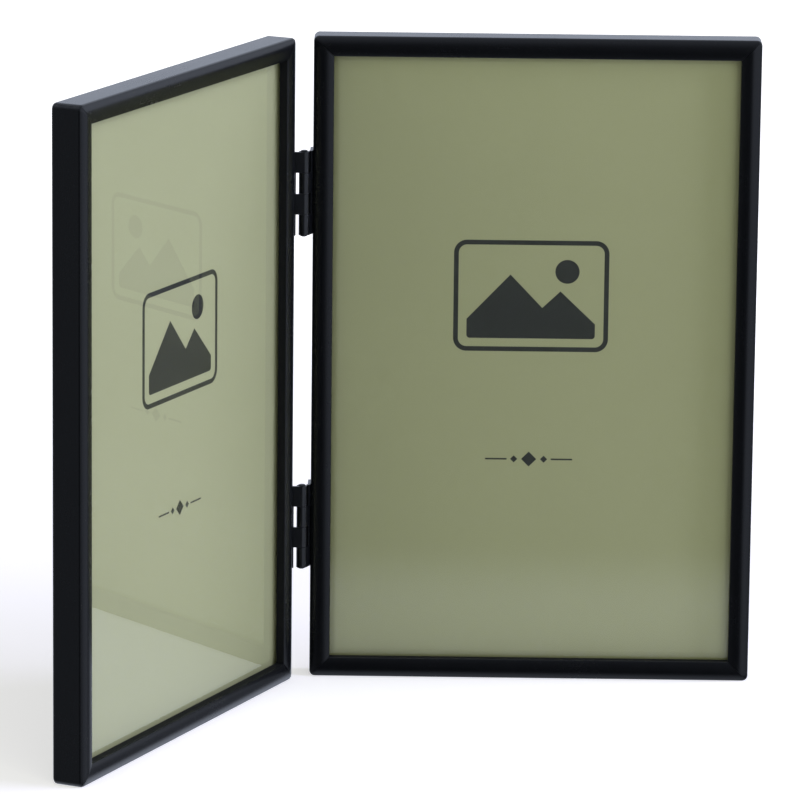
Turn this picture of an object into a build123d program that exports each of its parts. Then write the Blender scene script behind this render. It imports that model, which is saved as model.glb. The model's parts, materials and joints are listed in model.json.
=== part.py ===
from build123d import *
from math import sqrt
import os

# Hinged double photo frame. Two portrait frames of mitred metal moulding, each with
# glass, a paper insert, a backing board with a flocked cover and four turn clips, are
# joined edge to edge by two small butt hinges with rolled knuckles.
# Millimetres, +Z up. The right leaf faces -Y and the left leaf is swung towards the viewer.

# The photograph that a leaf holds, and how its moulding covers it
photo_width = 101.6
photo_height = 152.4
photo_thickness = 0.25
lip_overlap = 2.55
photo_play = 0.4

# Moulding section
side_wall = 1.9
lip_depth = 2.4
crown_share = 0.48
sight_drop = 0.35
outer_drop = 0.75
sight_round = 0.22
front_round = 0.35
back_round = 1.0
back_inner_round = 0.25
mitre_gap = 0.03
overrun = 1.0

# Corner keys, in a slot behind the lip
key_inset = 0.95
key_width = 1.7
key_thickness = 0.95
key_leg = 12.0
key_play = 0.05
key_corner_cut = 0.6

# Glass, board and flocked cover, from front to back
glass_thickness = 1.8
glass_play = 0.3
glass_arris = 0.25
board_thickness = 1.6
board_play = 0.45
board_corner_cut = 0.8
cover_thickness = 0.4
cover_margin = 0.2

# Turn clips, which swing out of a groove in the side wall
clip_thickness = 0.5
clip_play = 0.13
clip_base_width = 5.0
clip_tip_width = 3.4
clip_tail = 3.4
clip_corner_cut = 0.5
clip_pivot_inset = 5.0
clip_groove_depth = 0.95
clip_tip_play = 0.2
rim_behind_groove = 0.99
tab_height = 0.75
tab_corner_cut = 0.3
rivet_radius = 0.9
rivet_play = 0.06
rivet_head_radius = 1.7
rivet_head_height = 0.45
rivet_head_taper = 0.35
rivet_set = 1.0

# Hinges: where they sit, their pin and their rolled sheet
opening_angle = 115.25
hinge_length = 20.2
hinge_end_inset = 27.6
hinge_axis_to_side = 2.06
hinge_axis_to_crown = 0.74
knuckle_count = 4
knuckle_gap = 0.1
knuckle_curl = 300.0
sheet_thickness = 0.72
sheet_bend_round = 0.45
plate_setback = 0.9
plate_width = 5.4
plate_corner_round = 0.8
crank_start = 0.45
crank_end = 0.2
pin_radius = 0.48
pin_play = 0.05
pin_head_radius = 0.85
pin_head_height = 0.3
pin_head_taper = 0.25

# Worked out from the sizes above
quarter_turn = 90.0
half_turn = 180.0
face_width = lip_overlap + photo_play + side_wall
half_opening_width = photo_width / 2 - lip_overlap
half_opening_height = photo_height / 2 - lip_overlap
leaf_width = 2 * (half_opening_width + face_width)
leaf_height = 2 * (half_opening_height + face_width)
rebate = face_width - side_wall
half_rebate_width = half_opening_width + rebate
half_rebate_height = half_opening_height + rebate
glass_back = lip_depth + glass_thickness
insert_back = glass_back + photo_thickness
board_back = insert_back + board_thickness
cover_back = board_back + cover_thickness
clip_front = cover_back + clip_play
clip_back = clip_front + clip_thickness
groove_back = clip_back + clip_play
frame_depth = groove_back + rim_behind_groove
key_slot_depth = key_thickness + key_play
knuckle_pitch = hinge_length / knuckle_count
knuckle_bore = pin_radius + pin_play
knuckle_middle = knuckle_bore + sheet_thickness / 2
plate_outside = hinge_axis_to_side - sheet_thickness
plate_front = hinge_axis_to_crown + plate_setback
opened_from_flat = half_turn - opening_angle
hinge_bottoms = {
    "upper": leaf_height - hinge_end_inset - hinge_length,
    "lower": hinge_end_inset,
}
# Sides of a leaf, with the turn about its normal that takes the outer side there
side_turns = {"outer": 0.0, "top": -quarter_turn, "hinge": half_turn, "bottom": quarter_turn}
rail_names = {"outer": "outer_stile", "top": "top_rail", "hinge": "hinge_stile", "bottom": "bottom_rail"}


def nearest(shape, x, y):
    """The corner of a flat outline that lies nearest to a point."""
    return shape.vertices().sort_by_distance(Vector(x, y, 0))[0]


def moulding_section():
    """Section of the moulding: X runs outwards from the sight edge, Y back from the crown."""
    crown = crown_share * face_width
    slot_near = key_inset
    slot_far = key_inset + key_width + 2 * key_play
    slot_floor = lip_depth - key_slot_depth
    groove_floor = rebate + clip_groove_depth
    with BuildSketch() as section:
        with BuildLine():
            TangentArc((crown, 0), (0, sight_drop), tangent=(-1, 0))
            TangentArc((crown, 0), (face_width, outer_drop), tangent=(1, 0))
            Polyline(
                (face_width, outer_drop),
                (face_width, frame_depth),
                (rebate, frame_depth),
                (rebate, groove_back),
                (groove_floor, groove_back),
                (groove_floor, cover_back),
                (rebate, cover_back),
                (rebate, lip_depth),
                (slot_far, lip_depth),
                (slot_far, slot_floor),
                (slot_near, slot_floor),
                (slot_near, lip_depth),
                (0, lip_depth),
                (0, sight_drop),
            )
        make_face()
        fillet(nearest(section, 0, sight_drop), sight_round)
        fillet(nearest(section, face_width, outer_drop), front_round)
        fillet(nearest(section, face_width, frame_depth), back_round)
        fillet(nearest(section, rebate, frame_depth), back_inner_round)
    return section.sketch


def mitred_rail(half_across, half_along):
    """A rail on the outer side of its leaf, centred on it, with both ends mitred."""
    half_run = half_along + face_width
    bar = extrude(Pos(half_across, 0, 0) * moulding_section(), amount=half_run, both=True)
    inner = half_across - overrun
    outer = half_across + face_width + overrun
    end_cut = mitre_gap / sqrt(2)
    inner_run = half_along - overrun - end_cut
    outer_run = half_along + face_width + overrun - end_cut
    wedge = Plane.XZ * Polygon(
        (inner, -inner_run), (outer, -outer_run), (outer, outer_run), (inner, inner_run), align=None
    )
    return bar & extrude(wedge, amount=frame_depth + overrun, both=True)


def leaf_side(side):
    """Half the opening across a side and half of it along that side."""
    if side in ("top", "bottom"):
        return half_opening_height, half_opening_width
    return half_opening_width, half_opening_height


def rail(side):
    """One of the four lengths of moulding, with the leaf's centre at the origin."""
    across, along = leaf_side(side)
    return Rot(0, side_turns[side], 0) * mitred_rail(across, along)


def corner_key(side_x, side_z):
    """Flat L-shaped key in the slot of the two rails that meet at one corner."""
    near = key_inset + key_play
    far = near + key_width
    half_x = half_opening_width + far
    half_z = half_opening_height + far
    outline = Polygon(
        (half_x, half_z),
        (half_x - key_leg, half_z),
        (half_x - key_leg, half_z - key_width),
        (half_x - key_width, half_z - key_width),
        (half_x - key_width, half_z - key_leg),
        (half_x, half_z - key_leg),
        align=None,
    )
    outline = chamfer(nearest(outline, half_x, half_z), key_corner_cut)
    blank = extrude(Plane.XZ * outline, amount=-key_thickness)
    key = Pos(0, lip_depth - key_slot_depth, 0) * blank
    if side_x < 0:
        key = mirror(key, about=Plane.YZ)
    if side_z < 0:
        key = mirror(key, about=Plane.XY)
    return key


def corner_keys():
    """The four corner keys of a leaf."""
    return [corner_key(side_x, side_z) for side_x in (-1, 1) for side_z in (-1, 1)]


def sheet(play, front, thickness):
    """Flat blank that fills the rebate but for a play all round."""
    blank = Box(2 * (half_rebate_width - play), thickness, 2 * (half_rebate_height - play))
    return Pos(0, front + thickness / 2, 0) * blank


def glass():
    """Glass with ground arrises, seated on the back of the lip."""
    pane = sheet(glass_play, lip_depth, glass_thickness)
    return chamfer(pane.edges().filter_by(Axis.Y, reverse=True), glass_arris)


def photo_insert():
    """The printed paper behind the glass."""
    return sheet(photo_play, glass_back, photo_thickness)


def clip_pivots():
    """Each side's turn and the distance of its clip's pivot from the leaf's centre."""
    pivots = []
    for side, turn in side_turns.items():
        half_rebate = leaf_side(side)[0] + rebate
        pivots.append((side, turn, half_rebate - clip_pivot_inset))
    return pivots


def rivet_holes(front, depth):
    """Holes for the four clip rivets, from a depth behind the crown backwards."""
    hole = Rot(quarter_turn, 0, 0) * Cylinder(rivet_radius + rivet_play, depth)
    seats = []
    for side, turn, reach in clip_pivots():
        seats.append(Rot(0, turn, 0) * Pos(reach, front + depth / 2, 0) * hole)
    return seats


def backing_board():
    """Board behind the insert, with a blind hole for each clip rivet."""
    board = sheet(board_play, insert_back, board_thickness)
    board = chamfer(board.edges().filter_by(Axis.Y), board_corner_cut)
    return board - rivet_holes(board_back - rivet_set, rivet_set + overrun)


def back_cover():
    """Flocked paper on the back of the board, cut a little smaller than the board."""
    cover = sheet(board_play + cover_margin, board_back, cover_thickness)
    cover = chamfer(cover.edges().filter_by(Axis.Y), board_corner_cut)
    return cover - rivet_holes(board_back - overrun, cover_thickness + 2 * overrun)


def turn_clip(side):
    """Sheet-steel clip, tip in the groove, with a tab to push at its tail."""
    across = leaf_side(side)[0] + rebate - clip_pivot_inset
    tip = clip_pivot_inset + clip_groove_depth - clip_tip_play
    half_base = clip_base_width / 2
    half_tip = clip_tip_width / 2
    taper = Polygon(
        (-clip_tail, -half_base), (tip, -half_tip), (tip, half_tip), (-clip_tail, half_base), align=None
    )
    outline = taper & Circle(tip)
    for y in (-half_base, half_base):
        outline = chamfer(nearest(outline, -clip_tail, y), clip_corner_cut)
    outline -= Circle(rivet_radius + rivet_play)
    blank = extrude(Plane.XZ * outline, amount=-clip_thickness)
    tab = Box(clip_thickness, tab_height, clip_base_width - 2 * clip_corner_cut)
    tab = chamfer(tab.edges().filter_by(Axis.X).group_by(Axis.Y)[-1], tab_corner_cut)
    blank += Pos(clip_thickness / 2 - clip_tail, clip_thickness + tab_height / 2, 0) * tab
    return Rot(0, side_turns[side], 0) * Pos(across, clip_front, 0) * blank


def clip_rivets():
    """The four shouldered rivets that the clips swivel on, set in the board."""
    shank_front = board_back - rivet_set
    head_front = clip_back + rivet_play
    head_back = head_front + rivet_head_height
    outline = Polygon(
        (0, shank_front),
        (rivet_radius, shank_front),
        (rivet_radius, head_front),
        (rivet_head_radius, head_front),
        (rivet_head_radius - rivet_head_taper, head_back),
        (0, head_back),
        align=None,
    )
    rivet = revolve(outline, axis=Axis.Y)
    return [Rot(0, turn, 0) * Pos(reach, 0, 0) * rivet for side, turn, reach in clip_pivots()]


def hinge_strip():
    """Edge view of a hinge's sheet, seen along the pin: plate, crank and rolled knuckle."""
    plate_middle = hinge_axis_to_side - sheet_thickness / 2
    with BuildSketch() as strip:
        with BuildLine():
            FilletPolyline(
                (plate_middle, plate_front + crank_start + sheet_thickness),
                (plate_middle, plate_front),
                (knuckle_middle, crank_end + sheet_thickness / 2),
                (knuckle_middle, 0),
                radius=sheet_bend_round,
            )
            CenterArc((0, 0), knuckle_middle, 0, -knuckle_curl)
        trace(line_width=sheet_thickness)
    return strip.sketch


def hinge_plate(bottom, first_knuckle):
    """Plate brazed to the side of a right-hand leaf, with every other knuckle from the top."""
    plate = Box(sheet_thickness, plate_width, hinge_length, align=(Align.MIN, Align.MIN, Align.MIN))
    plate = Pos(plate_outside, plate_front, bottom) * plate
    far_edges = plate.edges().filter_by(Axis.X).group_by(Axis.Y)[-1]
    plate = fillet(far_edges, plate_corner_round)
    strip = hinge_strip()
    for row in range(first_knuckle, knuckle_count, 2):
        row_bottom = bottom + hinge_length - (row + 1) * knuckle_pitch + knuckle_gap / 2
        knuckle = extrude(strip, amount=knuckle_pitch - knuckle_gap)
        plate += Pos(0, 0, row_bottom) * knuckle
    return plate


def hinge_pin(bottom):
    """Pin with both ends staked over."""
    half_shank = hinge_length / 2 + pin_play
    shank = Cylinder(pin_radius, 2 * half_shank)
    head = Cone(pin_head_radius, pin_head_radius - pin_head_taper, pin_head_height)
    top_head = Pos(0, 0, half_shank + pin_head_height / 2) * head
    pin = shank + top_head + mirror(top_head, about=Plane.XY)
    return Pos(0, 0, bottom + hinge_length / 2) * pin


def leaf_pieces():
    """All pieces of a right-hand leaf, about its centre, by the names that follow the side."""
    pieces = {name: rail(side) for side, name in rail_names.items()}
    pieces["corner_keys"] = corner_keys()
    pieces["glass"] = glass()
    pieces["photo_insert"] = photo_insert()
    pieces["backing_board"] = backing_board()
    pieces["back_cover"] = back_cover()
    for side in side_turns:
        pieces["turn_clip_" + side] = turn_clip(side)
    pieces["clip_rivets"] = clip_rivets()
    return pieces


def as_compound(shape):
    """One shape from a piece, or from a list of like pieces."""
    return Compound(shape) if isinstance(shape, list) else shape


def place_leaf(shape, side):
    """Put a piece, made for a right-hand leaf beside the pin, on its own side."""
    if side == "right":
        return shape
    return Rot(0, 0, opened_from_flat) * mirror(shape, about=Plane.YZ)


def build_model():
    """Every node of the frame by name, with the hinge pins' line through the origin."""
    beside_pin = Pos(hinge_axis_to_side + leaf_width / 2, hinge_axis_to_crown, leaf_height / 2)
    first_knuckles = {"left": 0, "right": 1}
    pieces = leaf_pieces()
    model = {}
    for side, first in first_knuckles.items():
        for name, shape in pieces.items():
            model[side + "_" + name] = place_leaf(beside_pin * as_compound(shape), side)
        for level, bottom in hinge_bottoms.items():
            plate = hinge_plate(bottom, first)
            model[level + "_hinge_" + side + "_plate"] = place_leaf(plate, side)
    for level, bottom in hinge_bottoms.items():
        model[level + "_hinge_pin"] = hinge_pin(bottom)
    return model


model = build_model()
box = Compound(list(model.values())).bounding_box()
to_origin = Pos(-box.center().X, -box.center().Y, -box.min.Z)
os.makedirs("parts", exist_ok=True)
for node, shape in model.items():
    export_step(to_origin * shape, "parts/" + node + ".step")
print("size", box.size)
print("pin line", to_origin.position)
print("leaf", leaf_width, leaf_height, "clip plane behind the crown", clip_front)
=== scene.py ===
# Looks of the hinged double photo frame, dressed around its packed construction.
# Metres, +Z up, in the frame of the construction: the right leaf faces -Y and the left
# leaf is swung towards the viewer about the hinge pins. Each leaf is described about its
# own centre: X across it, Y back from its crown and Z up it, in millimetres.
import json
import math

import bmesh
import bpy
from mathutils import Matrix, Vector


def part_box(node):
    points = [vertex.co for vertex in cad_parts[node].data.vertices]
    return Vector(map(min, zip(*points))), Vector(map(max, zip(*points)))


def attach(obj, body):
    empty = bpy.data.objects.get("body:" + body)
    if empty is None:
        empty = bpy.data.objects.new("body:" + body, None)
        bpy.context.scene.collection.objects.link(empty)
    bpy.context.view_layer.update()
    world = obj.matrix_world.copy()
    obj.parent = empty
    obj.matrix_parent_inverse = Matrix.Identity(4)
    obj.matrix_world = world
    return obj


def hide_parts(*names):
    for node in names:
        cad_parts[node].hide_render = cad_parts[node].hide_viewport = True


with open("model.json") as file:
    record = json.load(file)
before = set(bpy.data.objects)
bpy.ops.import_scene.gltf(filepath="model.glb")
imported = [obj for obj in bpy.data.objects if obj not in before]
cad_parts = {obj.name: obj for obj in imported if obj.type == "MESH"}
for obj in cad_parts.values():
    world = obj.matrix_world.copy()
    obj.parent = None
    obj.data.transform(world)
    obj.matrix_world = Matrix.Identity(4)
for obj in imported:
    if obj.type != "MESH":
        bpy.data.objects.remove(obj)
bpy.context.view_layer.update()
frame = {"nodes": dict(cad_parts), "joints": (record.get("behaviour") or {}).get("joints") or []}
nodes = frame["nodes"]
mm = 0.001

# The camera, found from the corners of the two leaves in the photograph
photo_pixels = 800
sensor_millimetres = 36.0
focal_pixels = 6062.98
camera_place = Vector((4.120, -1372.554, 390.387)) * mm
camera_yaw = -0.00559
camera_pitch = 0.22298
camera_roll = 0.01079

# Where the leaves stand
joints = {joint["name"]: joint for joint in frame["joints"]}
pin_line = Vector(joints["leaf_hinge"]["pos_m"])
left_turn = math.pi - math.radians(joints["leaf_hinge"]["range_deg"][1])
outer_low, outer_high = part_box("right_outer_stile")
hinge_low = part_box("right_hinge_stile")[0]
leaf_width = (outer_high.x - hinge_low.x) / mm
leaf_height = (outer_high.z - outer_low.z) / mm
crown_y = outer_low.y
right_centre = Vector(((outer_high.x + hinge_low.x) / 2, crown_y, outer_high.z / 2))
from_pin = right_centre - pin_line
from_pin_unswung = Vector((-from_pin.x, from_pin.y, from_pin.z))
left_centre = pin_line + Matrix.Rotation(left_turn, 3, "Z") @ from_pin_unswung
leaf_centres = {"right": right_centre, "left": left_centre}
leaf_turns = {"right": 0.0, "left": left_turn}

# Moulding section, in millimetres back from the crown and out from the sight edge
face_width = (outer_high.x - outer_low.x) / mm
frame_depth = (outer_high.y - outer_low.y) / mm
lip_depth = (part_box("right_glass")[0].y - crown_y) / mm
glass_back = (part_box("right_glass")[1].y - crown_y) / mm
cover_back = (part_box("right_back_cover")[1].y - crown_y) / mm
side_wall = 1.9
crown_share = 0.48
sight_drop = 0.35
outer_drop = 0.75
sight_round = 0.22
front_round = 0.9
back_round = 1.0
back_inner_round = 0.25
rim_behind_groove = 0.99
groove_depth = 0.95
key_slot_near = 0.95
key_slot_far = 2.75
key_slot_floor = 1.4
mitre_gap = 0.03
mitre_edge_break = 0.05
outer_corner_round = 1.2
outer_corner_steps = 3
crown_steps = 12
corner_steps = 5
merge_distance = 0.0001
sharp_from = 30.0
half_opening_width = leaf_width / 2 - face_width
half_opening_height = leaf_height / 2 - face_width
rebate = face_width - side_wall

# Hinges, in millimetres about the pin: X out from it, Y back
hinge_plate_low, hinge_plate_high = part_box("upper_hinge_right_plate")
hinge_to_side = (hinge_plate_high.x - pin_line.x) / mm
hinge_plate_far = (hinge_plate_high.y - pin_line.y) / mm
hinge_length = (hinge_plate_high.z - hinge_plate_low.z) / mm
hinge_levels = {level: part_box(level + "_hinge_right_plate")[0].z for level in ("upper", "lower")}
sheet_thickness = 0.72
sheet_edge_round = 0.07
sheet_edge_steps = 2
sheet_edges_from = 50.0
sheet_merge_distance = 0.001
knuckle_middle = 0.89
knuckle_count = 4
knuckle_gap = 0.1
knuckle_curl = 275.0
knuckle_steps = 30
notch_from_pin = {"left": 1.9, "right": 1.3}
plate_bend_round = 0.6
plate_corner_round = 0.8
bend_steps = 5
pin_radius = 0.48
pin_head_radius = 0.85
pin_head_height = 0.3
pin_head_flat = 0.5
pin_head_shoulder = 0.75
pin_head_edge = 0.1
pin_head_undercut = 0.05
pin_play = 0.05
round_steps = 32

# Turn clips and their rivets, in millimetres about the pivot: X to the tip, Y back from the crown
clip_thickness = 0.5
clip_edge_round = 0.07
clip_front = (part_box("right_turn_clip_outer")[0].y - crown_y) / mm
clip_tab_back = (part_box("right_turn_clip_outer")[1].y - crown_y) / mm
clip_tail = 3.4
clip_tip = 5.75
clip_base_half = 2.5
clip_tip_half = 1.7
clip_tab_half = 2.0
clip_tab_corner = 0.3
clip_bend_round = 0.45
clip_shoulder = 0.5
clip_hole = 0.96
clip_hole_square = 1.45
clip_hole_steps = 8
clip_waist_steps = 4
clip_taper_steps = 3
clip_straight_to = 5.1
clip_tip_corner = 0.12
clip_pivot_inset = 5.0
rivet_front = 5.05
rivet_radius = 0.9
rivet_head_front = 7.14
rivet_head_rim = [(1.64, 0.0), (1.7, 0.06), (1.67, 0.15), (1.42, 0.3), (1.0, 0.41)]
rivet_head_dimple = [(0.6, 0.445), (0.42, 0.42), (0.34, 0.3), (0, 0.28)]
rivet_turn_seed = 3

# Insert, in millimetres
paper_thickness = 0.18
paper_clearance = 0.03
paper_unevenness = 0.02
paper_wave_across = (2.3, 0.7)
paper_wave_up = (1.9, -0.4)
paper_columns = 24
paper_rows = 36

# Rails and clips, by the quarter turns that take one from the +X side to its place
quarter_turns = {"right": 0, "top": 1, "left": 2, "bottom": 3}
edge_places = {
    "right": {"outer": "right", "top": "top", "hinge": "left", "bottom": "bottom"},
    "left": {"outer": "left", "top": "top", "hinge": "right", "bottom": "bottom"},
}
rail_kinds = {"outer": "stile", "top": "rail", "hinge": "stile", "bottom": "rail"}


def link(thing):
    """Put an object into the scene."""
    bpy.context.scene.collection.objects.link(thing)
    return thing


def emptied(owner):
    """The emptied node tree of a material or world."""
    owner.use_nodes = True
    owner.node_tree.nodes.clear()
    return owner.node_tree


def add_node(tree, kind, **settings):
    """A node with its properties set."""
    node = tree.nodes.new(kind)
    for name, value in settings.items():
        setattr(node, name, value)
    return node


def wire(tree, source, socket):
    """Feed a socket from a field, from another socket or with a plain value."""
    if isinstance(source, Field):
        source = source.socket
    if isinstance(source, bpy.types.NodeSocket):
        tree.links.new(source, socket)
    else:
        socket.default_value = source


def feed(tree, node, **values):
    """Feed a node's inputs by name, with underscores read as spaces."""
    for label, value in values.items():
        wire(tree, value, node.inputs[label.replace("_", " ")])
    return node


class Field:
    """A value that changes over a surface, so that masks can be written as formulas."""

    def __init__(self, tree, socket):
        self.tree = tree
        self.socket = socket

    def maths(self, operation, *others):
        node = add_node(self.tree, "ShaderNodeMath", operation=operation)
        for socket, value in zip(node.inputs, (self, *others)):
            wire(self.tree, value, socket)
        return Field(self.tree, node.outputs[0])

    def __add__(self, other):
        return self.maths("ADD", other)

    def __sub__(self, other):
        return self.maths("SUBTRACT", other)

    def __mul__(self, other):
        return self.maths("MULTIPLY", other)

    def __abs__(self):
        return self.maths("ABSOLUTE")

    def least(self, other):
        return self.maths("MINIMUM", other)

    def most(self, other):
        return self.maths("MAXIMUM", other)

    def above(self, other):
        return self.maths("GREATER_THAN", other)

    def ramp(self, low, high, start=0.0, end=1.0):
        """Smooth rise from start to end as the value goes from low to high."""
        node = add_node(self.tree, "ShaderNodeMapRange", interpolation_type="SMOOTHSTEP")
        for label, value in (("From Min", low), ("From Max", high), ("To Min", start), ("To Max", end)):
            wire(self.tree, value, node.inputs[label])
        wire(self.tree, self, node.inputs["Value"])
        return Field(self.tree, node.outputs["Result"])

    def inverse(self):
        return self * -1.0 + 1.0


def length_of(x, y):
    """Distance of a point from the middle."""
    return (x * x + y * y).maths("SQRT")


def split(tree, vector):
    """The three parts of a vector as fields."""
    node = add_node(tree, "ShaderNodeSeparateXYZ")
    wire(tree, vector, node.inputs[0])
    return [Field(tree, socket) for socket in node.outputs]


def joined(tree, x, y, z):
    """A vector from three fields or numbers."""
    node = add_node(tree, "ShaderNodeCombineXYZ")
    for value, socket in zip((x, y, z), node.inputs):
        wire(tree, value, socket)
    return node.outputs[0]


def noise(tree, vector, scale, detail=2.0, roughness=0.5):
    """Soft noise from 0 to 1."""
    node = add_node(tree, "ShaderNodeTexNoise")
    feed(tree, node, Vector=vector, Scale=scale, Detail=detail, Roughness=roughness)
    return Field(tree, node.outputs["Fac"])


def blend_colours(tree, share, low, high):
    """A colour between two, by a share that changes over the surface."""
    node = add_node(tree, "ShaderNodeMix", data_type="RGBA")
    wire(tree, share, node.inputs[0])
    for colour, socket in ((low, node.inputs[6]), (high, node.inputs[7])):
        wire(tree, (*colour, 1) if isinstance(colour, tuple) else colour, socket)
    return node.outputs[2]


def new_group(name, inputs, outputs, kind="ShaderNodeTree"):
    """A node group with named inputs and outputs of plain kinds, and the fields of its inputs."""
    tree = bpy.data.node_groups.new(name, kind)
    for way, sockets in (("INPUT", inputs), ("OUTPUT", outputs)):
        for label, socket_kind in sockets:
            tree.interface.new_socket(label, in_out=way, socket_type="NodeSocket" + socket_kind)
    entry = add_node(tree, "NodeGroupInput")
    ending = add_node(tree, "NodeGroupOutput")
    fields = {label: Field(tree, entry.outputs[label]) for label, _ in inputs}
    return tree, fields, ending


def use_group(tree, group, **values):
    """Place a group in a tree, and give its outputs as fields."""
    node = feed(tree, add_node(tree, "ShaderNodeGroup", node_tree=group), **values)
    return {socket.name: Field(tree, socket) for socket in node.outputs}


# Shared effects


def speckle_group():
    """Uneven tone at two scales, as on paint, paper and plate."""
    tree, given, ending = new_group(
        "uneven_tone",
        [("Place", "Vector"), ("Fine Scale", "Float"), ("Broad Scale", "Float")],
        [("Fine", "Float"), ("Broad", "Float")],
    )
    roughness = 0.6
    for label, detail in (("Fine", 3.0), ("Broad", 2.0)):
        field = noise(tree, given["Place"], given[label + " Scale"], detail, roughness)
        wire(tree, field, ending.inputs[label])
    return tree


def moulding_group():
    """Draw lines along each length of moulding, the joints at its mitres and worn corners."""
    tree, given, ending = new_group(
        "moulding_marks",
        [("Place", "Vector")],
        [("Draw Lines", "Float"), ("Joint", "Float"), ("Worn", "Float"), ("Inside Lip", "Float")],
    )
    across, back, up = split(tree, given["Place"])
    beyond_width = abs(across) - half_opening_width
    beyond_height = abs(up) - half_opening_height
    upright = beyond_width.above(beyond_height)
    slow, quick, line_detail, line_roughness = 0.02, 3.0, 4.0, 0.7
    along_across = upright * (quick - slow) + slow
    along_up = upright * (slow - quick) + quick
    line_place = joined(tree, across * along_across, back * quick, up * along_up)
    lines = noise(tree, line_place, 1.0, line_detail, line_roughness)
    wire(tree, lines, ending.inputs["Draw Lines"])
    joint_half, joint_fade = 0.03, 0.1
    off_joint = abs(beyond_width - beyond_height)
    joint = off_joint.ramp(joint_half, joint_fade, 1.0, 0.0)
    wire(tree, joint, ending.inputs["Joint"])
    corner = length_of(beyond_width - face_width, beyond_height - face_width)
    corner_full, corner_reach = 0.2, 1.1
    scuff_scale, scuff_detail, scuff_roughness = 1.3, 4.0, 0.65
    scuff_low, scuff_high = 0.5, 0.68
    scuffs = noise(tree, given["Place"], scuff_scale, scuff_detail, scuff_roughness)
    worn = corner.ramp(corner_full, corner_reach, 1.0, 0.0) * scuffs.ramp(scuff_low, scuff_high)
    wire(tree, worn, ending.inputs["Worn"])
    lip_near, lip_far, lip_reach = 0.45, 0.6, 0.1
    on_lip = beyond_width.most(beyond_height).ramp(lip_reach, lip_reach * 2, 1.0, 0.0)
    wire(tree, on_lip * back.ramp(lip_near, lip_far), ending.inputs["Inside Lip"])
    return tree


def rounded_box_distance(x, y, half_width, half_height, corner):
    """Signed distance to a rectangle with rounded corners."""
    over_x = abs(x) - (half_width - corner)
    over_y = abs(y) - (half_height - corner)
    outside = length_of(over_x.most(0.0), over_y.most(0.0))
    inside = over_x.most(over_y).least(0.0)
    return outside + inside - corner


def peak_distance(x, y, place, top, slope):
    """Signed distance, near enough, to a mountain with a pointed top."""
    return (y - top + abs(x - place) * slope) * math.cos(math.atan(slope))


def print_group():
    """The print on the insert: a plain picture symbol over a small divider."""
    tree, given, ending = new_group("insert_print", [("Place", "Vector")], [("Ink", "Float")])
    across, _, up = split(tree, given["Place"])
    symbol_left, symbol_up, divider_down = 0.7, 15.6, 24.5
    symbol_half_width, symbol_half_height, symbol_corner, symbol_line = 18.0, 13.0, 2.6, 1.15
    picture_inset, picture_corner = 2.6, 0.8
    tall_peak, low_peak = (-5.0, 5.2, 1.05), (7.0, 1.2, 0.95)
    sun_across, sun_up, sun_radius = 8.6, 6.0, 2.9
    x = across + symbol_left
    y = up - symbol_up
    border = rounded_box_distance(x, y, symbol_half_width, symbol_half_height, symbol_corner)
    outline = abs(border) - symbol_line / 2
    inner_half_width = symbol_half_width - picture_inset
    inner_half_height = symbol_half_height - picture_inset
    picture = rounded_box_distance(x, y, inner_half_width, inner_half_height, picture_corner)
    peaks = peak_distance(x, y, *tall_peak).least(peak_distance(x, y, *low_peak))
    hills = peaks.most(picture)
    sun = length_of(x - sun_across, y - sun_up) - sun_radius
    symbol = outline.least(hills).least(sun)
    diamond_half, side_place, side_half = 1.3, 3.6, 0.62
    rule_place, rule_half_width, rule_half_height, rule_corner = 7.9, 2.6, 0.2, 0.1
    diagonal = math.sqrt(0.5)
    y = up + divider_down
    middle = (abs(x) + abs(y)) * diagonal - diamond_half
    sides = (abs(abs(x) - side_place) + abs(y)) * diagonal - side_half
    rules = rounded_box_distance(abs(x) - rule_place, y, rule_half_width, rule_half_height, rule_corner)
    divider = middle.least(sides).least(rules)
    edge = 0.05
    wire(tree, symbol.least(divider).ramp(-edge, edge, 1.0, 0.0), ending.inputs["Ink"])
    return tree


uneven_tone = speckle_group()
moulding_marks = moulding_group()
insert_print = print_group()


# Materials


def new_material(name):
    """A material with a Principled shader wired to its output."""
    material = bpy.data.materials.new(name)
    tree = emptied(material)
    output = add_node(tree, "ShaderNodeOutputMaterial")
    surface = add_node(tree, "ShaderNodeBsdfPrincipled")
    wire(tree, surface.outputs[0], output.inputs["Surface"])
    return material, tree, surface, output


def leaf_place(tree, side):
    """Place on a leaf, in millimetres from its centre, whichever way it is swung."""
    coordinates = add_node(tree, "ShaderNodeTexCoord")
    mapping = add_node(tree, "ShaderNodeMapping", vector_type="TEXTURE")
    turn = (0, 0, leaf_turns[side])
    feed(tree, mapping, Location=leaf_centres[side], Rotation=turn, Scale=(mm, mm, mm))
    wire(tree, coordinates.outputs["Object"], mapping.inputs["Vector"])
    return mapping.outputs["Vector"]


def ray_kind(tree, label):
    """1 for rays of one kind and 0 for all others."""
    return Field(tree, add_node(tree, "ShaderNodeLightPath").outputs[label])


def show_mixed(tree, share, first, second, output):
    """Wire a material's output to one shader, and to another by a share."""
    mix = add_node(tree, "ShaderNodeMixShader")
    for source, socket in zip((share, first.outputs[0], second.outputs[0]), mix.inputs):
        wire(tree, source, socket)
    wire(tree, mix.outputs[0], output.inputs["Surface"])


def tone_on(tree, place, fine_scale, broad_scale):
    """Uneven tone at a place, by the number of spots to one unit of it."""
    return use_group(tree, uneven_tone, Place=place, Fine_Scale=fine_scale, Broad_Scale=broad_scale)


def tone_over_piece(tree, fine_scale, broad_scale):
    """Uneven tone over a piece, by the number of spots to a millimetre."""
    coordinates = add_node(tree, "ShaderNodeTexCoord")
    return tone_on(tree, coordinates.outputs["Object"], fine_scale / mm, broad_scale / mm)


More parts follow.
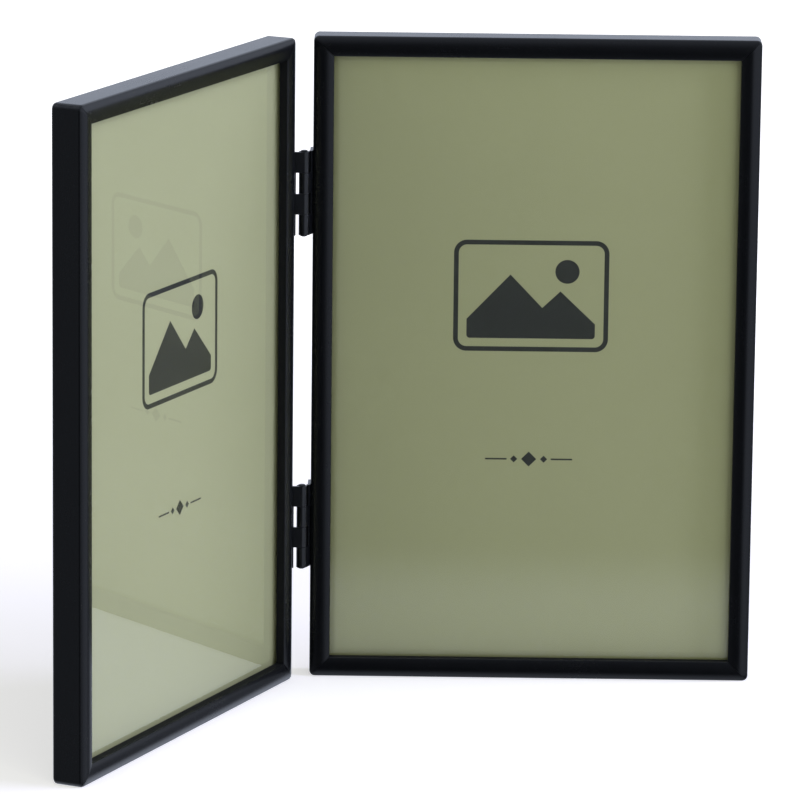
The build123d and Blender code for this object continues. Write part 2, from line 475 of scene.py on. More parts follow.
def add_bump(tree, surface, height, relief):
    """Relief from a height field, by its depth in millimetres."""
    bump = add_node(tree, "ShaderNodeBump")
    feed(tree, bump, Height=height, Distance=relief * mm, Strength=1.0)
    wire(tree, bump.outputs["Normal"], surface.inputs["Normal"])


def moulding_finish(side):
    """Satin black paint on drawn moulding."""
    material, tree, surface, _ = new_material(side + "_moulding_black")
    deep_black, raised_black = (0.0018, 0.0022, 0.0028), (0.0030, 0.0034, 0.0042)
    joint_black, worn_grey = (0.0012, 0.0012, 0.0014), (0.045, 0.046, 0.048)
    satin, unevenness, joint_roughness, lip_roughness = 0.17, 0.06, 0.25, 0.6
    place = leaf_place(tree, side)
    tone = tone_on(tree, place, fine_scale=0.9, broad_scale=0.06)
    marks = use_group(tree, moulding_marks, Place=place)
    black = blend_colours(tree, tone["Broad"], deep_black, raised_black)
    jointed = blend_colours(tree, marks["Joint"], black, joint_black)
    worn = blend_colours(tree, marks["Worn"], jointed, worn_grey)
    spots = tone["Fine"] * unevenness + tone["Broad"] * unevenness
    drawn = spots + marks["Draw Lines"] * unevenness + satin
    roughness = drawn + marks["Joint"] * joint_roughness + marks["Inside Lip"] * lip_roughness
    feed(tree, surface, Base_Color=worn, Roughness=roughness, IOR=1.38)
    joint_depth = 2.0
    add_bump(tree, surface, marks["Draw Lines"] - marks["Joint"] * joint_depth, relief=0.002)
    return material


def spotted_finish(name, low, high, scales, roughness, relief, shown="Broad", metallic=0.0):
    """A finish that goes from one colour to another in spots over each piece."""
    material, tree, surface, _ = new_material(name)
    tone = tone_over_piece(tree, *scales)
    colour = blend_colours(tree, tone[shown], low, high)
    fine_share, broad_share, least = roughness
    spots = tone["Fine"] * fine_share + tone["Broad"] * broad_share
    feed(tree, surface, Base_Color=colour, Roughness=spots + least, Metallic=metallic)
    if relief:
        add_bump(tree, surface, tone["Fine"], relief)
    return material


def pane_finish():
    """Clear float glass. Light reaches what lies behind it."""
    material, tree, surface, output = new_material("clear_glass")
    pale_green = (0.965, 0.985, 0.97, 1)
    feed(tree, surface, Base_Color=pale_green, Roughness=0.0, IOR=1.5, Transmission_Weight=1.0)
    passed = ray_kind(tree, "Is Shadow Ray").most(ray_kind(tree, "Is Diffuse Ray"))
    clear = add_node(tree, "ShaderNodeBsdfTransparent")
    show_mixed(tree, passed, surface, clear, output)
    return material


def paper_finish(side):
    """Olive-cream coated paper with its print."""
    material, tree, surface, _ = new_material(side + "_insert_paper")
    deep_olive, pale_olive = (0.316, 0.337, 0.172), (0.345, 0.364, 0.190)
    ink_black = (0.007, 0.009, 0.004)
    tone_share, matt, fine_share, ink_gloss = 0.5, 0.5, 0.1, 0.1
    place = leaf_place(tree, side)
    tone = tone_on(tree, place, fine_scale=2.5, broad_scale=0.02)
    ink = use_group(tree, insert_print, Place=place)["Ink"]
    spots = tone["Broad"] * tone_share + tone["Fine"] * tone_share
    paper = blend_colours(tree, spots, deep_olive, pale_olive)
    printed = blend_colours(tree, ink, paper, ink_black)
    roughness = tone["Fine"] * fine_share + matt - ink * ink_gloss
    feed(tree, surface, Base_Color=printed, Roughness=roughness)
    add_bump(tree, surface, tone["Fine"], relief=0.004)
    return material


def flock_finish(side):
    """Black flocked paper: short upright fibres with a soft sheen."""
    material, tree, surface, _ = new_material(side + "_flock_black")
    deep_black, raised_black = (0.006, 0.006, 0.007), (0.034, 0.034, 0.037)
    fine_share, broad_share, nap_low, nap_high = 0.65, 0.35, 0.3, 0.7
    matt, unevenness = 0.85, 0.1
    tone = tone_on(tree, leaf_place(tree, side), fine_scale=1.7, broad_scale=0.07)
    nap = (tone["Fine"] * fine_share + tone["Broad"] * broad_share).ramp(nap_low, nap_high)
    colour = blend_colours(tree, nap, deep_black, raised_black)
    feed(tree, surface, Base_Color=colour, Roughness=tone["Broad"] * unevenness + matt)
    feed(tree, surface, Sheen_Weight=0.6, Sheen_Roughness=0.45, Sheen_Tint=(0.5, 0.5, 0.55, 1))
    feed(tree, surface, Specular_IOR_Level=0.2)
    add_bump(tree, surface, tone["Fine"], relief=0.12)
    return material


# Spotted finishes: two colours, fine and broad spots to a millimetre, what each of them adds to
# the roughness and its least, and relief in millimetres
black_plate = ((0.0018, 0.0021, 0.0027), (0.0034, 0.0038, 0.0045), (1.6, 0.25), (0.12, 0.1, 0.2), 0.004)
zinc_plate = ((0.50, 0.50, 0.49), (0.68, 0.68, 0.66), (2.2, 0.35), (0.18, 0.16, 0.2), 0.006)
plain_steel = ((0.42, 0.42, 0.43), (0.6, 0.6, 0.61), (2.0, 0.3), (0.2, 0.0, 0.3), 0.0)
pressed_fibre = ((0.24, 0.155, 0.09), (0.42, 0.30, 0.19), (1.8, 0.12), (0.0, 0.15, 0.7), 0.03)
finishes = {
    "hinge_metal": spotted_finish("hinge_black", *black_plate),
    "clip_steel": spotted_finish("clip_zinc", *zinc_plate, metallic=1.0),
    "key_steel": spotted_finish("key_steel", *plain_steel, metallic=1.0),
    "pane": pane_finish(),
    "board": spotted_finish("board_brown", *pressed_fibre, shown="Fine"),
}
for leaf in leaf_centres:
    finishes[leaf + "_moulding"] = moulding_finish(leaf)
    finishes[leaf + "_insert_paper"] = paper_finish(leaf)
    finishes[leaf + "_flock"] = flock_finish(leaf)


def finish_for(node_name, slot_name):
    """The finish of a material slot, which may belong to one leaf."""
    leaf = "left" if node_name.startswith("left") else "right"
    return finishes.get(slot_name) or finishes[leaf + "_" + slot_name]


def dress_nodes():
    """Give every piece of the construction its finish, in its own material slot."""
    for name, node in nodes.items():
        for slot in node.material_slots:
            slot.material = finish_for(name, slot.material.name.split(".")[0])


# New pieces


def leaf_matrix(side):
    """Takes millimetres about a leaf's centre to the frame of the construction."""
    turn = Matrix.Rotation(leaf_turns[side], 4, "Z")
    return Matrix.Translation(leaf_centres[side]) @ turn @ Matrix.Scale(mm, 4)


def edge_matrix(side, place, out):
    """Takes millimetres about a point that far out on a leaf's +X side to another of its sides."""
    turn = Matrix.Rotation(-quarter_turns[place] * math.pi / 2, 4, "Y")
    return leaf_matrix(side) @ turn @ Matrix.Translation((out, 0, 0))


def solid_result(source):
    """The plain mesh that an object's modifiers make, and the end of that object."""
    graph = bpy.context.evaluated_depsgraph_get()
    graph.update()
    mesh = bpy.data.meshes.new_from_object(source.evaluated_get(graph))
    bpy.data.objects.remove(source)
    return mesh


def from_outline(name, points, faces=()):
    """A scratch object of points and faces."""
    mesh = bpy.data.meshes.new(name)
    mesh.from_pydata(points, [], faces)
    return link(bpy.data.objects.new(name, mesh))


def add_nodes_modifier(source, tree, **values):
    """Run a tree on an object, with underscores in its input names read as spaces."""
    modifier = source.modifiers.new(tree.name, "NODES")
    modifier.node_group = tree
    inputs = [item for item in tree.interface.items_tree if item.in_out == "INPUT"]
    sockets = {item.name: item.identifier for item in inputs}
    for label, value in values.items():
        modifier[sockets[label.replace("_", " ")]] = value


def even_normals(source):
    """Keep large flats flat where they meet small rounded corners."""
    modifier = source.modifiers.new("even_normals", "WEIGHTED_NORMAL")
    modifier.keep_sharp = True


def finished_piece(name, mesh, matrix, body, replaced):
    """A piece, set in its place, that rides on its body and stands for a piece of the construction."""
    mesh.name = name
    mesh.transform(matrix)
    piece = link(bpy.data.objects.new(name, mesh))
    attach(piece, body)
    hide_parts(replaced)


def sharpened(tree, geometry):
    """Smooth shading that breaks at real corners."""
    smooth = feed(tree, add_node(tree, "GeometryNodeSetShadeSmooth"), Geometry=geometry)
    bend = add_node(tree, "GeometryNodeInputMeshEdgeAngle")
    sharp = Field(tree, bend.outputs["Unsigned Angle"]).above(math.radians(sharp_from))
    store = add_node(tree, "GeometryNodeStoreNamedAttribute", data_type="BOOLEAN", domain="EDGE")
    feed(tree, store, Name="sharp_edge", Geometry=smooth.outputs["Geometry"], Value=sharp)
    return store.outputs["Geometry"]


def closing(tree, geometry, finish, ending):
    """The last nodes of a tree: real geometry with its material."""
    real = feed(tree, add_node(tree, "GeometryNodeRealizeInstances"), Geometry=geometry)
    painted = add_node(tree, "GeometryNodeSetMaterial")
    feed(tree, painted, Geometry=real.outputs["Geometry"], Material=finish)
    wire(tree, painted.outputs["Geometry"], ending.inputs["Geometry"])


def rounded_corner(before, corner, after, radius, steps):
    """Points of the arc that rounds one corner of an outline."""
    to_before = (before - corner).normalized()
    to_after = (after - corner).normalized()
    half_angle = to_before.angle(to_after) / 2
    reach = radius / math.tan(half_angle)
    middle = corner + (to_before + to_after).normalized() * radius / math.sin(half_angle)
    start = corner + to_before * reach - middle
    end = corner + to_after * reach - middle
    return [middle + start.slerp(end, step / steps).normalized() * radius for step in range(steps + 1)]


def moulding_outline():
    """Outline of the section: X out from the sight edge, Y back from the crown."""
    crown = crown_share * face_width
    far = face_width - crown
    sight_radius = (crown**2 + sight_drop**2) / (2 * sight_drop)
    outer_radius = (far**2 + outer_drop**2) / (2 * outer_drop)
    corners = []
    for step in range(-crown_steps, crown_steps + 1):
        run, radius = (crown, sight_radius) if step < 0 else (far, outer_radius)
        x = run * step / crown_steps
        corners.append((crown + x, radius - math.sqrt(radius**2 - x**2), 0))
    corners[0] = (0, sight_drop, sight_round)
    corners[-1] = (face_width, outer_drop, front_round)
    groove_floor = rebate + groove_depth
    groove_back = frame_depth - rim_behind_groove
    corners += [
        (face_width, frame_depth, back_round),
        (rebate, frame_depth, back_inner_round),
        (rebate, groove_back, 0),
        (groove_floor, groove_back, 0),
        (groove_floor, cover_back, 0),
        (rebate, cover_back, 0),
        (rebate, lip_depth, 0),
        (key_slot_far, lip_depth, 0),
        (key_slot_far, key_slot_floor, 0),
        (key_slot_near, key_slot_floor, 0),
        (key_slot_near, lip_depth, 0),
        (0, lip_depth, 0),
    ]
    points = []
    for index, (x, y, radius) in enumerate(corners):
        corner = Vector((x, y))
        if radius == 0:
            points.append(corner)
            continue
        before = Vector(corners[index - 1][:2])
        after = Vector(corners[(index + 1) % len(corners)][:2])
        points += rounded_corner(before, corner, after, radius, corner_steps)
    return points


def inward_steps(points):
    """For each point of an outline, the step that draws it in by one unit all round."""
    sharpest_corner = 0.5
    steps = []
    for index, point in enumerate(points):
        before = (point - points[index - 1]).normalized()
        after = (points[(index + 1) % len(points)] - point).normalized()
        left_before = Vector((-before.y, before.x))
        left_after = Vector((-after.y, after.x))
        middle = (left_before + left_after).normalized()
        steps.append(middle / max(middle.dot(left_before), sharpest_corner))
    return steps


def geometry_group(name, *numbers):
    """A tree that takes geometry, numbers and a finish, and gives geometry."""
    measures = [(label, "Float") for label in numbers]
    inputs = [("Geometry", "Geometry"), *measures, ("Finish", "Material")]
    return new_group(name, inputs, [("Geometry", "Geometry")], "GeometryNodeTree")


def moulding_tree():
    """Draws a flat section out into a rail with mitred ends, each with a rounded outer corner.
    A rail is one long middle length, the steps of both corners and a broken edge at both mitres."""
    numbers = ("Half Run", "Gap", "Edge Break", "Corner Round")
    tree, given, ending = geometry_group("mitred_moulding", *numbers)
    drawn, top = given["Geometry"].socket, True
    middle_and_breaks = 3
    lengths = 2 * outer_corner_steps + middle_and_breaks
    for _ in range(lengths):
        extrude = add_node(tree, "GeometryNodeExtrudeMesh", mode="FACES")
        feed(tree, extrude, Mesh=drawn, Selection=top, Offset=(0, 0, 1), Individual=False)
        drawn, top = extrude.outputs["Mesh"], extrude.outputs["Top"]
    near_end = feed(tree, add_node(tree, "GeometryNodeFlipFaces"), Mesh=given["Geometry"])
    both = add_node(tree, "GeometryNodeJoinGeometry")
    tree.links.new(near_end.outputs["Mesh"], both.inputs["Geometry"])
    tree.links.new(drawn, both.inputs["Geometry"])
    closed = add_node(tree, "GeometryNodeMergeByDistance")
    feed(tree, closed, Geometry=both.outputs["Geometry"], Distance=merge_distance)
    x, y, ring = split(tree, add_node(tree, "GeometryNodeInputPosition").outputs["Position"])
    drawn_in = add_node(tree, "GeometryNodeInputNamedAttribute", data_type="FLOAT_VECTOR")
    feed(tree, drawn_in, Name="inward")
    inward_x, inward_y, _ = split(tree, drawn_in.outputs["Attribute"])
    from_middle = ring - lengths / 2
    step = abs(from_middle) - 0.5
    at_end = step.above(outer_corner_steps + 0.5)
    turned = step.least(outer_corner_steps) * (math.pi / 4 / outer_corner_steps)
    corner_round = given["Corner Round"]
    near_outside = ((x - face_width) * (1 / side_wall) + 1.0).most(0.0) * corner_round
    cut_at_mitre = 1 - math.sqrt(0.5)
    before_mitre = (turned.maths("SINE").inverse() - cut_at_mitre) * corner_round
    reach = given["Half Run"] + x - near_outside * cut_at_mitre - given["Gap"] - before_mitre
    along = (reach - at_end.inverse() * given["Edge Break"]) * from_middle.maths("SIGN")
    broken = at_end * given["Edge Break"]
    across = x - near_outside * turned.maths("COSINE").inverse() + inward_x * broken
    place = joined(tree, across, y + inward_y * broken, along)
    moved = add_node(tree, "GeometryNodeSetPosition")
    feed(tree, moved, Geometry=closed.outputs["Geometry"], Position=place)
    closing(tree, sharpened(tree, moved.outputs["Geometry"]), given["Finish"], ending)
    return tree


def section_object(points):
    """The section as one flat face, with the steps that draw it in kept on its points."""
    section = from_outline("section", [(x, y, 0) for x, y in points], [range(len(points))])
    inward = section.data.attributes.new("inward", "FLOAT_VECTOR", "POINT")
    for entry, step in zip(inward.data, inward_steps(points)):
        entry.vector = (step.x, step.y, 0)
    return section


def build_rails():
    """The eight lengths of mitred moulding."""
    points = moulding_outline()
    tree = moulding_tree()
    for side, places in edge_places.items():
        for edge, place in places.items():
            across, along = half_opening_width, half_opening_height
            if place in ("top", "bottom"):
                across, along = along, across
            rail = section_object(points)
            add_nodes_modifier(
                rail,
                tree,
                Half_Run=along,
                Gap=mitre_gap / math.sqrt(2),
                Edge_Break=mitre_edge_break,
                Corner_Round=outer_corner_round,
                Finish=finishes[side + "_moulding"],
            )
            even_normals(rail)
            matrix = edge_matrix(side, place, across)
            node = side + "_" + edge + "_" + rail_kinds[edge]
            mesh = solid_result(rail)
            finished_piece(node + "_moulding", mesh, matrix, side + "_leaf", node)


def build_inserts():
    """Paper behind each glass, lying very slightly uneven, a hair clear of the glass."""
    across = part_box("right_photo_insert")[1].x - right_centre.x
    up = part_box("right_photo_insert")[1].z - right_centre.z
    half_width, half_height = across / mm, up / mm
    waves, shift = paper_wave_across
    waves_up, shift_up = paper_wave_up
    for side in leaf_centres:
        grid = bmesh.new()
        bmesh.ops.create_grid(grid, x_segments=paper_columns, y_segments=paper_rows, size=1.0)
        for vertex in grid.verts:
            u, v = vertex.co.x, vertex.co.y
            rise = math.sin(waves * u + shift) * math.cos(waves_up * v + shift_up) * paper_unevenness
            vertex.co = (u * half_width, glass_back + paper_clearance + abs(rise), v * half_height)
        mesh = bpy.data.meshes.new("paper")
        grid.to_mesh(mesh)
        grid.free()
        mesh.materials.append(finishes[side + "_insert_paper"])
        paper = link(bpy.data.objects.new("paper", mesh))
        wall = paper.modifiers.new("thickness", "SOLIDIFY")
        wall.thickness = paper_thickness
        wall.offset = 1.0
        name, node = side + "_printed_paper", side + "_photo_insert"
        mesh = solid_result(paper)
        mesh.shade_smooth()
        finished_piece(name, mesh, leaf_matrix(side), side + "_leaf", node)


def sheet_patch(sheet, lines):
    """Add the faces between neighbouring lines of points."""
    made = [[sheet.verts.new(point) for point in line] for line in lines]
    for near, far in zip(made, made[1:]):
        for corners in zip(near, near[1:], far[1:], far):
            sheet.faces.new(corners)


def pressed_sheet(name, sheet, thickness, edge_round, finish):
    """Turn a middle surface into sheet metal with broken edges, as a plain mesh."""
    bmesh.ops.remove_doubles(sheet, verts=sheet.verts, dist=sheet_merge_distance)
    bmesh.ops.recalc_face_normals(sheet, faces=sheet.faces)
    mesh = bpy.data.meshes.new(name)
    sheet.to_mesh(mesh)
    sheet.free()
    mesh.materials.append(finish)
    mesh.shade_smooth()
    source = link(bpy.data.objects.new(name, mesh))
    wall = source.modifiers.new("thickness", "SOLIDIFY")
    wall.thickness = thickness
    wall.offset = 0.0
    wall.use_even_offset = True
    edge = source.modifiers.new("broken_edges", "BEVEL")
    edge.width = edge_round
    edge.segments = sheet_edge_steps
    edge.limit_method = "ANGLE"
    edge.angle_limit = math.radians(sheet_edges_from)
    even_normals(source)
    return solid_result(source)


def turned_shape(name, outline, finish):
    """A solid turned about Y from an outline of radius and depth, closed on the axis at both ends."""
    points = [(0, outline[0][1], 0)]
    faces = []
    for radius, depth in outline[1:-1]:
        for step in range(round_steps):
            angle = 2 * math.pi * step / round_steps
            points.append((radius * math.cos(angle), depth, radius * math.sin(angle)))
    points.append((0, outline[-1][1], 0))
    rings = len(outline) - 2
    for step in range(round_steps):
        following = (step + 1) % round_steps
        faces.append((0, 1 + step, 1 + following))
        for ring in range(rings - 1):
            near, far = 1 + ring * round_steps, 1 + (ring + 1) * round_steps
            faces.append((near + step, far + step, far + following, near + following))
        last = 1 + (rings - 1) * round_steps
        faces.append((last + step, len(points) - 1, last + following))
    shape = from_outline(name, points, faces)
    shape.data.materials.append(finish)
    return shape


def hinge_path(notch_reach):
    """Middle of a hinge's sheet seen along its pin, from the plate's far edge to the curl's end."""
    slant = Vector((math.cos(left_turn), math.sin(left_turn)))
    first_angle = left_turn - math.pi / 2
    joining = Vector((math.cos(first_angle), math.sin(first_angle))) * knuckle_middle
    plate_x = hinge_to_side - sheet_thickness / 2
    corner = joining + slant * ((plate_x - joining.x) / slant.x)
    path = []
    for step in range(bend_steps + 1):
        angle = math.pi / 2 * step / bend_steps
        path.append(Vector((plate_x, hinge_plate_far - plate_corner_round * (1 - math.cos(angle)))))
    path += rounded_corner(path[-1], corner, joining, plate_bend_round, bend_steps)
    path.append(joining + slant * notch_reach)
    notch = len(path) - 1
    for step in range(knuckle_steps + 1):
        angle = first_angle - math.radians(knuckle_curl) * step / knuckle_steps
        path.append(Vector((math.cos(angle), math.sin(angle))) * knuckle_middle)
    return path, notch


def hinge_lines(first_knuckle):
    """Heights between a plate's knuckles and the notches for the other plate's, from the bottom."""
    pitch = hinge_length / knuckle_count
    heights = [0.0]
    for row in range(1, knuckle_count):
        knuckle_above = (knuckle_count - 1 - row) % 2 == first_knuckle
        heights.append(row * pitch + (knuckle_gap / 2 if knuckle_above else -knuckle_gap / 2))
    return heights + [hinge_length]


def pin_outline():
    """Outline of a pin with a staked head at each end, as radius and place along it."""
    half = hinge_length / 2 + pin_play
    top = half + pin_head_height
    head = [
        (0, top),
        (pin_head_flat, top),
        (pin_head_shoulder, top - pin_head_edge),
        (pin_head_radius, half + pin_head_edge),
        (pin_head_radius - pin_head_undercut, half),
        (pin_radius, half),
    ]
    return [(radius, -along) for radius, along in head] + head[::-1]


def build_hinges():
    """Plates with rolled knuckles, each bent from one sheet, and their pins."""
    for side, first_knuckle in (("left", 0), ("right", 1)):
        path, notch = hinge_path(notch_from_pin[side])
        heights = hinge_lines(first_knuckle)
        sign = 1 if side == "right" else -1
        turn = Matrix.Rotation(leaf_turns[side], 4, "Z")
        for level, bottom in hinge_levels.items():
            sheet = bmesh.new()
            lines = []
            for index, place in enumerate(path[: notch + 1]):
                drop = 0.0
                if index < bend_steps:
                    drop = plate_corner_round * (1 - math.sin(math.pi / 2 * index / bend_steps))
                ups = [drop] + heights[1:-1] + [hinge_length - drop]
                lines.append([(sign * place.x, place.y, up) for up in ups])
            sheet_patch(sheet, lines)
            for row in range(knuckle_count):
                if (knuckle_count - 1 - row) % 2 == first_knuckle:
                    ups = heights[row : row + 2]
                    rolled = [[(sign * place.x, place.y, up) for up in ups] for place in path[notch:]]
                    sheet_patch(sheet, rolled)
            name = level + "_hinge_" + side + "_plate"
            metal = finishes["hinge_metal"]
            mesh = pressed_sheet(name, sheet, sheet_thickness, sheet_edge_round, metal)
            matrix = Matrix.Translation((pin_line.x, pin_line.y, bottom)) @ turn @ Matrix.Scale(mm, 4)
            finished_piece(name + "_rolled", mesh, matrix, side + "_leaf", name)
    for level, bottom in hinge_levels.items():
        pin = turned_shape("pin", pin_outline(), finishes["hinge_metal"])
        even_normals(pin)
        pin.data.shade_smooth()
        stand = Matrix.Rotation(math.pi / 2, 4, "X")
        place = (pin_line.x, pin_line.y, bottom + hinge_length / 2 * mm)
        matrix = Matrix.Translation(place) @ stand @ Matrix.Scale(mm, 4)
        name = level + "_hinge_pin"
        finished_piece(name + "_staked", solid_result(pin), matrix, "right_leaf", name)


def clip_half_width(along):
    """Half the width of a turn clip's flat, by the distance from its pivot towards the tip."""
    share = (along + clip_tail) / (clip_tip + clip_tail)
    tapered = clip_base_half + (clip_tip_half - clip_base_half) * share
    short = max(0.0, clip_shoulder - (along + clip_tail - clip_thickness / 2))
    return tapered - (tapered - clip_tab_half) * (short / clip_shoulder) ** 2


def clip_sheet():
    """Middle surface of a turn clip: flat with a pivot hole, and a tab bent back at the tail."""
    middle = clip_front + clip_thickness / 2
    tab_x = clip_thickness / 2 - clip_tail
    square = clip_hole_square
    inner = [square * (2 * step / clip_hole_steps - 1) for step in range(clip_hole_steps + 1)]
    sheet = bmesh.new()

    def line(x, y, half):
        return [(x, y, across) for across in (-half, *inner, half)]

    lines = [line(tab_x, clip_tab_back, clip_tab_half - clip_tab_corner)]
    lines.append(line(tab_x, clip_tab_back - clip_tab_corner, clip_tab_half))
    above, corner, ahead = Vector((tab_x, clip_tab_back)), Vector((tab_x, middle)), Vector((0, middle))
    for place in rounded_corner(above, corner, ahead, clip_bend_round, bend_steps):
        lines.append(line(place.x, place.y, clip_half_width(place.x)))
    bent_to = lines[bend_steps + 1][0][0]
    for step in range(1, clip_waist_steps + 1):
        x = bent_to + (-square - bent_to) * step / clip_waist_steps
        lines.append(line(x, middle, clip_half_width(x)))
    sheet_patch(sheet, lines)
    for sign in (-1, 1):
        band = [[(x, middle, sign * square), (x, middle, sign * clip_half_width(x))] for x in inner]
        sheet_patch(sheet, band)
    rim = [(-square, across) for across in inner[:-1]] + [(x, square) for x in inner[:-1]]
    rim += [(square, -across) for across in inner[:-1]] + [(-x, -square) for x in inner[:-1]]
    rim.append(rim[0])
    hole_line = []
    for x, across in rim:
        reach = math.hypot(x, across)
        hole_line.append((x * clip_hole / reach, middle, across * clip_hole / reach))
    sheet_patch(sheet, [hole_line, [(x, middle, across) for x, across in rim]])
    lines = [line(square, middle, clip_half_width(square))]
    for step in range(1, clip_taper_steps + 1):
        x = square + (clip_straight_to - square) * step / clip_taper_steps
        lines.append(line(x, middle, clip_half_width(x)))
    tip = []
    for _, _, across in line(clip_straight_to, middle, clip_tip_half - clip_tip_corner):
        set_back = clip_tip_corner * (abs(across) > square)
        tip.append((math.sqrt(clip_tip**2 - across**2) - set_back, middle, across))
    sheet_patch(sheet, lines + [tip])
    return sheet


def build_clips():
    """Turn clips, each on its own pivot."""
    for side, places in edge_places.items():
        for edge, place in places.items():
            reach = half_opening_width if place in ("left", "right") else half_opening_height
            matrix = edge_matrix(side, place, reach + rebate - clip_pivot_inset)
            node = side + "_turn_clip_" + edge
            steel = finishes["clip_steel"]
            mesh = pressed_sheet(node, clip_sheet(), clip_thickness, clip_edge_round, steel)
            finished_piece(node + "_pressed", mesh, matrix, node, node)


def rivets_tree():
    """Sets one shape at the middle of each side of a leaf, each turned its own way."""
    tree, given, ending = geometry_group("set_rivets", "Reach Across", "Reach Up")
    seats = add_node(tree, "GeometryNodeMeshCircle")
    feed(tree, seats, Vertices=len(quarter_turns), Radius=1.0)
    x, y, _ = split(tree, add_node(tree, "GeometryNodeInputPosition").outputs["Position"])
    place = joined(tree, x * given["Reach Across"], 0.0, y * given["Reach Up"])
    spread = add_node(tree, "GeometryNodeSetPosition")
    feed(tree, spread, Geometry=seats.outputs["Mesh"], Position=place)
    turned = add_node(tree, "FunctionNodeRandomValue", data_type="FLOAT_VECTOR")
    feed(tree, turned, Max=(0, 2 * math.pi, 0), Seed=rivet_turn_seed)
    setting = add_node(tree, "GeometryNodeInstanceOnPoints")
    feed(tree, setting, Points=spread.outputs["Geometry"], Instance=given["Geometry"])
    wire(tree, turned.outputs["Value"], setting.inputs["Rotation"])
    closing(tree, setting.outputs["Instances"], given["Finish"], ending)
    return tree


def build_rivets():
    """Rivets with low domed heads, dimpled by the setting tool."""
    tree = rivets_tree()
    outline = [(0, rivet_front), (rivet_radius, rivet_front), (rivet_radius, rivet_head_front)]
    for radius, rise in rivet_head_rim + rivet_head_dimple:
        outline.append((radius, rivet_head_front + rise))
    for side in leaf_centres:
        rivet = turned_shape("rivet", outline, finishes["clip_steel"])
        rivet.data.shade_smooth()
        add_nodes_modifier(
            rivet,
            tree,
            Reach_Across=half_opening_width + rebate - clip_pivot_inset,
            Reach_Up=half_opening_height + rebate - clip_pivot_inset,
            Finish=finishes["clip_steel"],
        )
        even_normals(rivet)
        node = side + "_clip_rivets"
        mesh = solid_result(rivet)
        finished_piece(node + "_domed", mesh, leaf_matrix(side), side + "_leaf", node)


dress_nodes()
build_rails()
build_inserts()
build_hinges()
build_clips()
build_rivets()


def build_camera():
    """The photograph's viewing angle."""
    camera = link(bpy.data.objects.new("camera", bpy.data.cameras.new("camera")))
    camera.data.sensor_width = sensor_millimetres
    camera.data.lens = focal_pixels * sensor_millimetres / photo_pixels
    turn = Matrix.Rotation(-camera_yaw, 4, "Z") @ Matrix.Rotation(math.pi / 2 - camera_pitch, 4, "X")
    camera.matrix_world = Matrix.Translation(camera_place) @ turn @ Matrix.Rotation(camera_roll, 4, "Z")
    bpy.context.scene.camera = camera


def build_floor():
    """Pale floor, white to the camera, that keeps the object's shadow. What the glass mirrors of it is
    a painted reflection: painted dark in front and given a painted glow near the leaves.
    """
    mesh = bpy.data.meshes.new("floor")
    half = 6.0
    corners = [(-half, -half, 0), (half, -half, 0), (half, half, 0), (-half, half, 0)]
    mesh.from_pydata(corners, [], [(0, 1, 2, 3)])
    floor = link(bpy.data.objects.new("floor", mesh))
    material = bpy.data.materials.new("floor_white")
    tree = emptied(material)
    output = add_node(tree, "ShaderNodeOutputMaterial")
    coordinates = add_node(tree, "ShaderNodeTexCoord")
    across, depth, _ = split(tree, coordinates.outputs["Object"])
    # Painted reflection: for glass reflections the floor's colour is painted dark in front and paler
    # near the leaves.
    pale, cool, dim = (0.88, 0.88, 0.88), (0.85, 0.95, 1.0), (0.03, 0.03, 0.035)
    leaves_from, leaves_to, painted_glow = -0.09, -0.02, 0.45
    glossy = ray_kind(tree, "Is Glossy Ray")
    near_leaves = depth.ramp(leaves_from, leaves_to)
    painted_reflection = blend_colours(tree, near_leaves, dim, cool)
    colour = blend_colours(tree, glossy, pale, painted_reflection)
    matt = feed(tree, add_node(tree, "ShaderNodeBsdfDiffuse"), Color=colour)
    shadow_to, white_from, glow_by_frame = 0.1, 0.5, 0.55
    white = length_of(across, depth).ramp(shadow_to, white_from, glow_by_frame, 1.0)
    # Painted light: near the leaves the floor glows for glossy rays, though it is no lamp. The glow for
    # camera rays only keeps the floor white.
    strength = glossy * near_leaves * painted_glow + ray_kind(tree, "Is Camera Ray") * white
    glow = feed(tree, add_node(tree, "ShaderNodeEmission"), Strength=strength)
    both = add_node(tree, "ShaderNodeAddShader")
    wire(tree, matt.outputs[0], both.inputs[0])
    wire(tree, glow.outputs[0], both.inputs[1])
    passed = add_node(tree, "ShaderNodeBsdfTransparent")
    satin_share = glossy * ray_kind(tree, "Is Singular Ray").inverse()
    show_mixed(tree, satin_share, both, passed, output)
    floor.data.materials.append(material)


# Studio, by direction: where each part starts and is full, and its level at both, 1 being white
backdrop = (0.5, 0.9, 0.0, 0.74)
ceiling, ceiling_level = (0.0, 0.95), 0.8
ground = (0.5, 1.0)
left_wall = (0.1, 0.8, 0.0, 0.22)
screen_across, screen_back, screen = 0.588, -0.809, (0.855, 0.945, 0.0, 0.8)
right_side = (0.8, 0.97, 0.0, 0.6)
right_wall, right_wall_height, right_wall_level = (0.62, 0.82), (-0.2, 0.04), 0.75
floor_down, floor_back = (0.3, 0.5), (0.2, 0.6)
dark_level = 0.03
lit_level = 0.2
plain_white, cool_white = (1.0, 1.0, 1.0), (0.95, 1.04, 1.24)


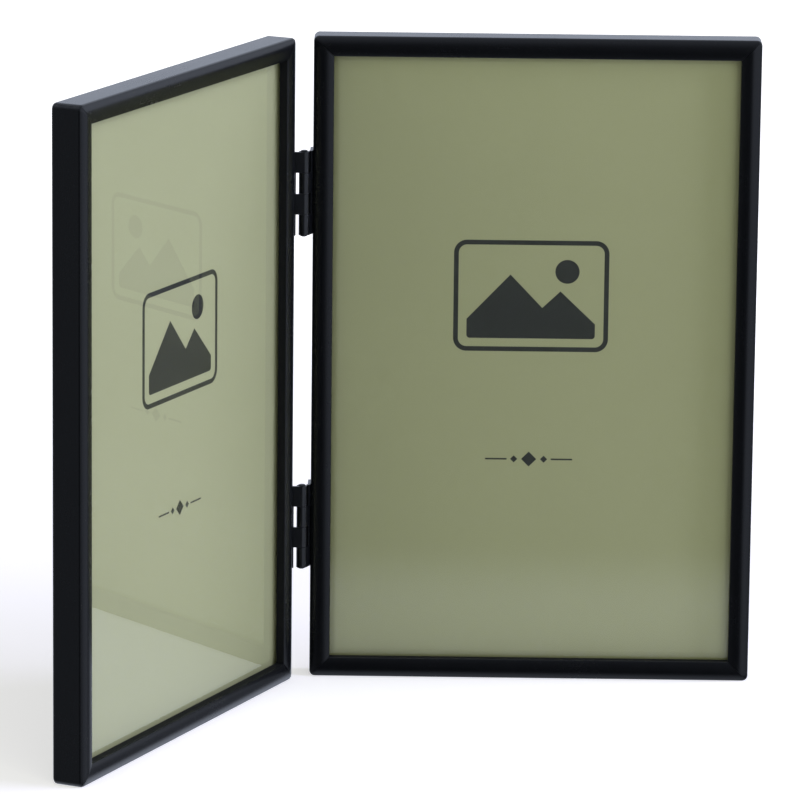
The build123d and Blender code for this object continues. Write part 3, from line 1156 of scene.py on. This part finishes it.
def build_world():
    """Studio light: white to the camera, plain as light, and with dark sides in reflections."""
    world = bpy.data.worlds.new("studio")
    bpy.context.scene.world = world
    tree = emptied(world)
    output = add_node(tree, "ShaderNodeOutputWorld")
    coordinates = add_node(tree, "ShaderNodeTexCoord")
    x, y, z = split(tree, coordinates.outputs["Generated"])
    left, down = x * -1.0, z * -1.0
    upper = y.ramp(*backdrop) + z.ramp(*ceiling) * ceiling_level
    room = upper + down.ramp(*ground) + left.ramp(*left_wall)
    right_screen = (x * screen_across + y * screen_back).ramp(*screen) + x.ramp(*right_side)
    wall = x.ramp(*right_wall) * z.ramp(*right_wall_height) * right_wall_level
    floor_behind = down.ramp(*floor_down) * y.ramp(*floor_back)
    reflected = room + right_screen + wall + floor_behind + dark_level
    glossy = ray_kind(tree, "Is Glossy Ray")
    room_level = reflected.least(1.0) * glossy + glossy.inverse() * lit_level
    background = ray_kind(tree, "Is Camera Ray").most(ray_kind(tree, "Is Transmission Ray"))
    level = background + room_level * background.inverse()
    colour = blend_colours(tree, glossy, plain_white, cool_white)
    sky = feed(tree, add_node(tree, "ShaderNodeBackground"), Color=colour, Strength=level)
    wire(tree, sky.outputs[0], output.inputs["Surface"])
    world.cycles.sampling_method = "NONE"


# Square soft lamps, aimed at the middle of the frame: place, width, watts and colour
lamp_aim = (0, 0, 0.08)
lamps = {
    "side_lamp": ((1.0, -0.04, 0.42), 0.8, 10.1, (1.0, 1.0, 1.48)),
    "left_lamp": ((-1.0, -0.8, 0.25), 0.8, 4.6, (1.0, 1.0, 0.86)),
    "front_lamp": ((0.4, -1.1, 0.5), 0.9, 3.95, (1.0, 1.0, 0.9)),
}


def build_lamps():
    """Soft lamps that the glass doesn't mirror."""
    for name, (place, width, power, colour) in lamps.items():
        light = bpy.data.lights.new(name, "AREA")
        light.shape = "RECTANGLE"
        light.size = light.size_y = width
        light.energy = power
        light.color = colour
        lamp = link(bpy.data.objects.new(name, light))
        lamp.visible_glossy = False
        turn = (Vector(lamp_aim) - Vector(place)).to_track_quat("-Z", "Y").to_matrix().to_4x4()
        lamp.matrix_world = Matrix.Translation(place) @ turn


build_camera()
build_floor()
build_world()
build_lamps()

bpy.context.scene.view_settings.view_transform = "Standard"
